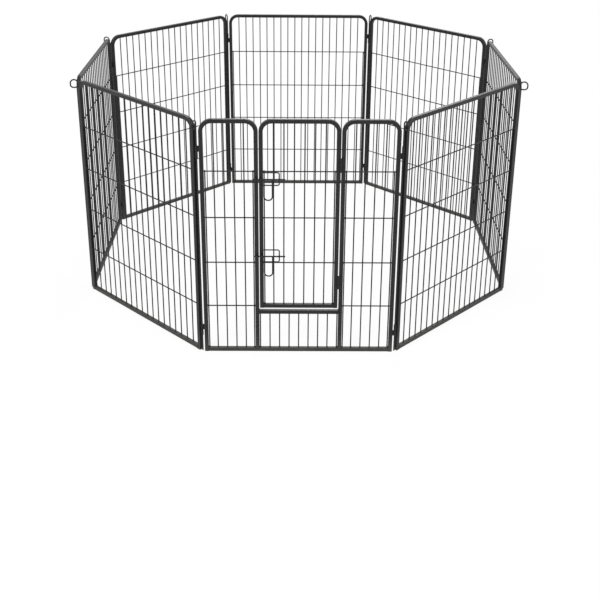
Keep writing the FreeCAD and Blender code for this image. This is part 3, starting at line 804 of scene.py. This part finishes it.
# %% Door tube, wires and welds
door_box = solids("door_frame", front)[0]
door_rail = solids("door_bottom_rail", front)[0]
door_uprights = between(solids("door_upright_wires", front), door_box[0].x, door_box[1].x)
door_crosses = between(solids("door_cross_wires", front), door_box[0].x, door_box[1].x)
settle("door_hoop", hoop_along(door_box, door_box[0].z, door_box[0].z), front, "door", "frame_tube",
       "door_frame")
settle("door_rail", rail_along(door_rail), front, "door", "frame_tube", "door_bottom_rail")
settle("door_uprights", wires(door_uprights, True), front, "door", "wire", "door_upright_wires")
settle("door_crosses", wires(door_crosses, False), front, "door", "wire", "door_cross_wires")
door_seams = seam(door_rail[0].x, door_rail[0].z, door_rail[1].z)
door_seams += seam(door_rail[1].x, door_rail[0].z, door_rail[1].z)
settle("door_welds", joined(grid_welds(door_uprights, door_crosses, 31) + [seam_weld(door_seams, 33)]),
       front, "door", "wire")
print(f"door leaf: {len(door_uprights)} upright and {len(door_crosses)} cross wires")

# %% [markdown]
# ## Hinges
#
# Each hinge is three knuckles on a headed pin. The outer two are welded to the jamb and the middle one to the
# door, each by a small leaf that lies on the front of its tube, with a bead along the leaf's far edge.

# %% Hinges
HINGE_PIN = 0.0048
PIN_CLEAR = 0.0008       # hinge pin to its leaf
LEAF = 0.002
LEAF_BEVEL = 0.0004
PIN_HEAD_RISE = 0.0004   # how far the head's rim is rounded


def hinge_knuckle(box, barrel):
    """A knuckle with its leaf, filling a solid's box; barrel is its outer radius."""
    low, high = box
    on_jamb = high.x > right_box[0].x + barrel
    axis_x = low.x + barrel if on_jamb else high.x - barrel
    axis_y = low.y + barrel
    face = -tube / 2
    length = high.z - low.z
    ring = eye_ring(barrel, HINGE_PIN / 2 + BORE_PLAY, length, RIM, rod_coat, centre=(axis_x, axis_y, low.z))
    end = high.x if on_jamb else low.x
    start = axis_x + math.copysign(HINGE_PIN / 2 + PIN_CLEAR, end - axis_x)
    leaf = plate((min(start, end), face - LEAF, low.z), (max(start, end), face, high.z), LEAF_BEVEL, rod_coat)
    beads = bead_spots([(end, face, low.z + 0.001), (end, face, high.z - 0.001)])
    return [ring, leaf, seam_weld(beads, 41)]


jamb_boxes = solids("door_hinge_jamb_knuckles", front)
leaf_boxes = solids("door_hinge_knuckles", front)
pin_boxes = solids("door_hinge_pins", front)
barrel = middle(pin_boxes[0]).y - jamb_boxes[0][0].y
settle("hinge_jamb_knuckles", joined([m for box in jamb_boxes for m in hinge_knuckle(box, barrel)]), front,
       "door_panel", "hinges", "door_hinge_jamb_knuckles")
settle("hinge_door_knuckles", joined([m for box in leaf_boxes for m in hinge_knuckle(box, barrel)]), front,
       "door", "hinges", "door_hinge_knuckles")


def headed_pin(box):
    """A hinge pin with a domed head on top and a bevelled tip."""
    low, high = box
    head = (high.x - low.x) / 2
    shank = HINGE_PIN / 2
    neck = high.z - low.z - 0.002
    top = high.z - low.z
    outline = [(0, 0), (shank * 0.8, 0), (shank, 0.0004), (shank, neck), (head, neck), (head, neck + 0.0008),
               (head * 0.85, top - PIN_HEAD_RISE), (head * 0.5, top - PIN_HEAD_RISE / 3), (0, top)]
    centre = middle(box)
    return turned(outline, rod_coat, centre=(centre.x, centre.y, low.z))


settle("hinge_pins", joined([headed_pin(box) for box in pin_boxes]), front, "door_panel", "hinges",
       "door_hinge_pins")
print(f"hinges: {len(pin_boxes)} pins, {len(jamb_boxes)} knuckles on the jamb, {len(leaf_boxes)} on the door")

# %% [markdown]
# ## Latches
#
# A staple of bent wire on the door carries the slide bolt, which runs through one eye on the door's upright
# and one at the staple's closed end, into a keeper on the jamb. Its finger loop hangs from the bolt. The
# bolts are bodies of their own, so they slide with their joints.

# %% Eyes for the bolts
STAPLE_WIRE = 0.005
STAPLE_BEND = 0.007
END_EYE = 0.006          # length of the eye at the staple's closed end
KEEPER_PLAY = 0.0006     # the keepers on the jamb are a loose fit
HANDLE_WIRE = 0.0055
HANDLE_INSET = 0.004     # door upright to the near leg
HANDLE_WIDTH = 0.032
HANDLE_BEND = 0.015

bolt_boxes = {name: solids(name, front)[0] for name in ("lower_bolt", "upper_bolt")}
bolt_size = bolt_boxes["upper_bolt"][1].y - bolt_boxes["upper_bolt"][0].y
staple_boxes = solids("latch_staples", front)
brackets = [box for box in staple_boxes if box[1].x - box[0].x > 4 * STAPLE_WIRE]
guides = [box for box in staple_boxes if box not in brackets]


def bolt_eye(box, play):
    """A guide eye with a saddle on the front of an upright."""
    low, high = box
    outer = (high.z - low.z) / 2
    centre = middle(box)
    length = high.x - low.x
    axis_y = low.y + outer
    inner = bolt_size / 2 + play
    ring = eye_ring(outer, inner, length, RIM, rod_coat, "X", (low.x, axis_y, centre.z))
    saddle = plate((low.x + RIM, axis_y + inner, low.z + RIM), (high.x - RIM, high.y, high.z - RIM), 0.0004,
                   rod_coat)
    beads = []
    for height in (low.z + RIM, high.z - RIM):
        beads += bead_spots([(low.x + 0.001, high.y, height), (high.x - 0.001, high.y, height)])
    return [ring, saddle, seam_weld(beads, 51)]


def staple_bracket(box):
    """The bent wire staple with the eye at its closed end."""
    low, high = box
    outer = (guides[0][1].z - guides[0][0].z) / 2
    half = STAPLE_WIRE / 2
    depth = -tube / 2 - half
    closed = high.x - END_EYE / 2
    legs = [(low.x, depth, high.z - half), (closed, depth, high.z - half), (closed, depth, low.z + half),
            (low.x, depth, low.z + half)]
    bent = rod_along(legs, STAPLE_WIRE, STAPLE_BEND)
    axis_y = low.y + outer
    ring = eye_ring(outer, bolt_size / 2 + BORE_PLAY, END_EYE, RIM, rod_coat, "X",
                    (high.x - END_EYE, axis_y, middle(box).z))
    grip = []
    for height in (high.z - half, low.z + half):
        for side in (-half * 0.8, half * 0.8):
            grip += bead_spots([(low.x + 0.001, -tube / 2, height + side),
                                (door_box[0].x + tube - 0.001, -tube / 2, height + side)])
    return [bent, ring, seam_weld(grip, 53)]


settle("latch_brackets",
       joined([m for box in brackets for m in staple_bracket(box)] +
              [m for box in guides for m in bolt_eye(box, BORE_PLAY)]),
       front, "door", "latch", "latch_staples")
keeper_boxes = solids("latch_keepers", front)
settle("latch_jamb_keepers", joined([m for box in keeper_boxes for m in bolt_eye(box, KEEPER_PLAY)]),
       front, "door_panel", "latch", "latch_keepers")
print(f"latches: {len(brackets)} staples, {len(guides)} guides, {len(keeper_boxes)} keepers")


# %% Slide bolts
def slide_bolt(name, box):
    """Bolt and finger loop in one weldment."""
    low, high = box
    half = bolt_size / 2
    axis = Vector((0, middle(box).y, high.z - half))
    rod = rod_along([(low.x, axis.y, axis.z), (high.x, axis.y, axis.z)], bolt_size, chamfer=0.0012)
    near = door_box[0].x + tube + HANDLE_INSET
    far = near + HANDLE_WIDTH
    bottom = low.z + HANDLE_WIRE / 2
    loop = rod_along([(near, axis.y, axis.z), (near, axis.y, bottom), (far, axis.y, bottom),
                      (far, axis.y, axis.z)], HANDLE_WIRE, HANDLE_BEND)
    around = (HANDLE_WIRE * 0.62, HANDLE_WIRE * 0.62, HANDLE_WIRE * 0.55)
    spots = [(Vector((x, axis.y, axis.z - half * 0.9)), UP) for x in (near, far)]
    mesh = joined([rod, loop, weld(drops, spots, around, 0.05, 61)])
    settle(f"{name}_rod", mesh, front, name, "latch", name)


for name, box in bolt_boxes.items():
    slide_bolt(name, box)
print(f"slide bolts {bolt_size * 1000:.1f} mm thick")

# %% [markdown]
# ## Corner pins
#
# The pins are plain rods that drop through the sleeves, with a D-shaped finger loop bent into the top. The
# loop points away from the pen's centre. One mesh serves all eight, turned onto its corner.

# %% Corner pins
LOOP_DROP = 0.034
LOOP_BEND = 0.014
LOOP_GAP = 0.0015
half_pin = pin_size / 2
out = Matrix.Rotation(-TURN / 2 - math.pi / 2, 4, "Z")
pin_radius = (pin_box[0].x + half_pin)
loop_reach = pin_box[1].x - half_pin - pin_radius
top = pin_box[1].z - half_pin
pin = rod_along([(0, 0, pin_box[0].z), (0, 0, top), (loop_reach, 0, top), (loop_reach, 0, top - LOOP_DROP),
                 (half_pin + LOOP_GAP, 0, top - LOOP_DROP)], pin_size, LOOP_BEND, chamfer=0.0012)
for number in range(1, SIDES + 1):
    heading = TURN * (number - 1.5) - math.pi / 2
    corner = Matrix.Rotation(heading, 4, "Z") @ Matrix.Translation((pin_radius, 0, 0))
    settle(f"corner_pin_{number}_rod", pin, corner, f"corner_pin_{number}", "corner_pins",
           f"corner_pin_{number}")
print(f"corner pins {pin_size * 1000:.1f} mm thick, {pin_radius:.4f} m from the centre")

# %% [markdown]
# ## Floor, light and camera
#
# The pen is shown on plain white. The floor and the world look white to the camera and in reflections, but
# the light that falls on the steel stays at a plain level, so the coat keeps its own depth. Three large
# soft lamps give each tube a light side and a dark side.

# %% Floor
FLOOR_REACH = 30.0
NEAR_GLOW = 0.9          # how white the floor looks by the pen; the rest shows the shadow
SHADOW_REACH = (1.3, 3.0)


def white_floor():
    """A floor that is nearly white to the camera and keeps a soft shadow."""
    mesh = bpy.data.meshes.new("floor")
    reach = FLOOR_REACH
    corners = [(-reach, -reach, 0), (reach, -reach, 0), (reach, reach, 0), (-reach, reach, 0)]
    mesh.from_pydata(corners, [], [(0, 1, 2, 3)])
    floor = bpy.data.objects.new("floor", mesh)
    bpy.context.scene.collection.objects.link(floor)
    material = bpy.data.materials.new("floor_white")
    material.use_nodes = True
    tree = material.node_tree
    tree.nodes.remove(tree.nodes["Principled BSDF"])
    rays = add_node(tree, "ShaderNodeLightPath").outputs
    seen = math_node(tree, "MAXIMUM", rays["Is Camera Ray"], rays["Is Glossy Ray"])
    seen = math_node(tree, "MAXIMUM", seen, rays["Is Transmission Ray"])
    place = add_node(tree, "ShaderNodeTexCoord").outputs["Object"]
    away = add_node(tree, "ShaderNodeVectorMath", {0: place}, operation="LENGTH").outputs["Value"]
    glow = add_node(tree, "ShaderNodeMapRange",
                    {"Value": away, "From Min": SHADOW_REACH[0], "From Max": SHADOW_REACH[1],
                     "To Min": NEAR_GLOW, "To Max": 1.0}).outputs[0]
    share = math_node(tree, "MULTIPLY", seen, glow)
    lit = add_node(tree, "ShaderNodeBsdfDiffuse", {"Color": (0.9, 0.9, 0.9, 1)})
    white = add_node(tree, "ShaderNodeEmission", {"Color": (1, 1, 1, 1), "Strength": 1.0})
    both = add_node(tree, "ShaderNodeMixShader", {0: share, 1: lit.outputs[0], 2: white.outputs[0]})
    tree.links.new(both.outputs[0], tree.nodes["Material Output"].inputs["Surface"])
    mesh.materials.append(material)


white_floor()


# %% World and lamps
def white_world(level):
    """White to the eye, a plain level of light on the object."""
    world = bpy.data.worlds.new("studio")
    bpy.context.scene.world = world
    world.use_nodes = True
    tree = world.node_tree
    rays = add_node(tree, "ShaderNodeLightPath").outputs
    seen = math_node(tree, "MAXIMUM", rays["Is Camera Ray"], rays["Is Glossy Ray"])
    seen = math_node(tree, "MAXIMUM", seen, rays["Is Transmission Ray"])
    strength = math_node(tree, "MAXIMUM", seen, level)
    background = tree.nodes["Background"]
    background.inputs["Color"].default_value = (1, 1, 1, 1)
    tree.links.new(strength, background.inputs["Strength"])


def lamp(name, place, target, size, power):
    """A square soft lamp that looks at a target."""
    data = bpy.data.lights.new(name, "AREA")
    data.size = size
    data.energy = power
    light = bpy.data.objects.new(name, data)
    light.location = place
    light.rotation_mode = "QUATERNION"
    light.rotation_quaternion = (Vector(target) - Vector(place)).to_track_quat("-Z", "Y")
    bpy.context.scene.collection.objects.link(light)


white_world(0.6)
AIM = (0, 0, 0.5)        # the middle of the pen
lamp("key", (-3.2, -4.2, 4.6), AIM, 2.4, 240)
lamp("fill", (4.4, -2.4, 3.0), AIM, 2.6, 90)
lamp("back", (0.6, 4.8, 4.2), AIM, 2.6, 120)

# %% Camera
FOCAL = 994.3            # distance to the picture plane, where the picture is PICTURE wide
PICTURE = 600
SENSOR = 36
camera_data = bpy.data.cameras.new("camera")
camera_data.sensor_width = SENSOR
camera_data.lens = FOCAL / PICTURE * SENSOR
camera_data.shift_y = -0.188
camera = bpy.data.objects.new("camera", camera_data)
camera.location = (-0.0251, -4.5233, 2.1374)
tilt, pan, roll = math.radians(21.576), math.radians(-0.426), math.radians(0.416)
level = Matrix.Rotation(math.pi / 2 - tilt, 3, "X")
look = Matrix.Rotation(pan, 3, "Z") @ level @ Matrix.Rotation(roll, 3, "Z")
camera.rotation_euler = look.to_euler()
bpy.context.scene.collection.objects.link(camera)
bpy.context.scene.camera = camera
bpy.context.scene.view_settings.view_transform = "Standard"
print(f"camera: lens {camera_data.lens:.1f} mm, {camera.location.length:.2f} m from the middle of the floor")
